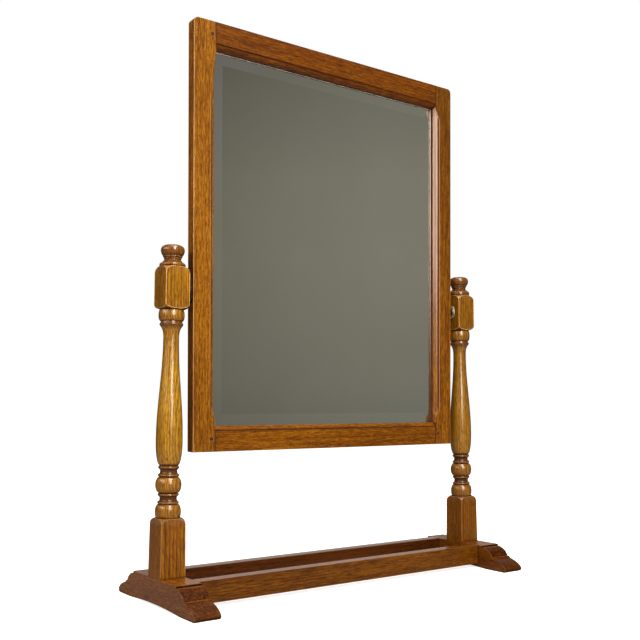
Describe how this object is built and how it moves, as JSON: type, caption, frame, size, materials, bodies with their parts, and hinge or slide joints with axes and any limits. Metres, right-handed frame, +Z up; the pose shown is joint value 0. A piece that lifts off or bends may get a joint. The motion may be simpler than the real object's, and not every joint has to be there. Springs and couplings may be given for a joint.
{
  "type": "dressing table mirror",
  "caption": "Swing mirror in a moulded oak frame, held by friction pivots between turned posts that stand on shaped feet joined by rails.",
  "frame": {"origin": "on the ground, centred between the feet in both directions", "axes": "+X across the mirror to the right of someone looking into it, +Y to the mirror's back, +Z up"},
  "size_m": [0.5926, 0.232, 0.8008],
  "materials": {
    "stand_oak": "varnished",
    "frame_oak": "varnished",
    "peg_oak": "varnished",
    "board_wood": "plain",
    "mirror_plate": "silvered and bevelled",
    "plate_brass": "worn",
    "plate_steel": "darkened"
  },
  "bodies": {
    "stand": {"left_foot": "stand_oak", "right_foot": "stand_oak", "front_rail": "stand_oak", "rear_rail": "stand_oak", "left_post": "stand_oak", "right_post": "stand_oak", "post_pegs": "peg_oak", "left_post_plate": "plate_brass", "right_post_plate": "plate_brass", "post_plate_screws": "plate_brass"},
    "mirror": {"left_stile": "frame_oak", "right_stile": "frame_oak", "top_rail": "frame_oak", "bottom_rail": "frame_oak", "frame_pegs": "peg_oak", "mirror_glass": "mirror_plate", "back_board": "board_wood", "back_screws": "plate_brass", "left_frame_plate": "plate_steel", "right_frame_plate": "plate_steel", "frame_plate_screws": "plate_steel", "left_pivot_pin": "plate_steel", "right_pivot_pin": "plate_steel", "left_washer": "plate_brass", "right_washer": "plate_brass"}
  },
  "joints": [
    {"name": "mirror_tilt", "type": "hinge", "parent": "stand", "child": "mirror", "pos_m": [0, 0, 0.42542], "axis": [1, 0, 0], "continuous": true}
  ]
}
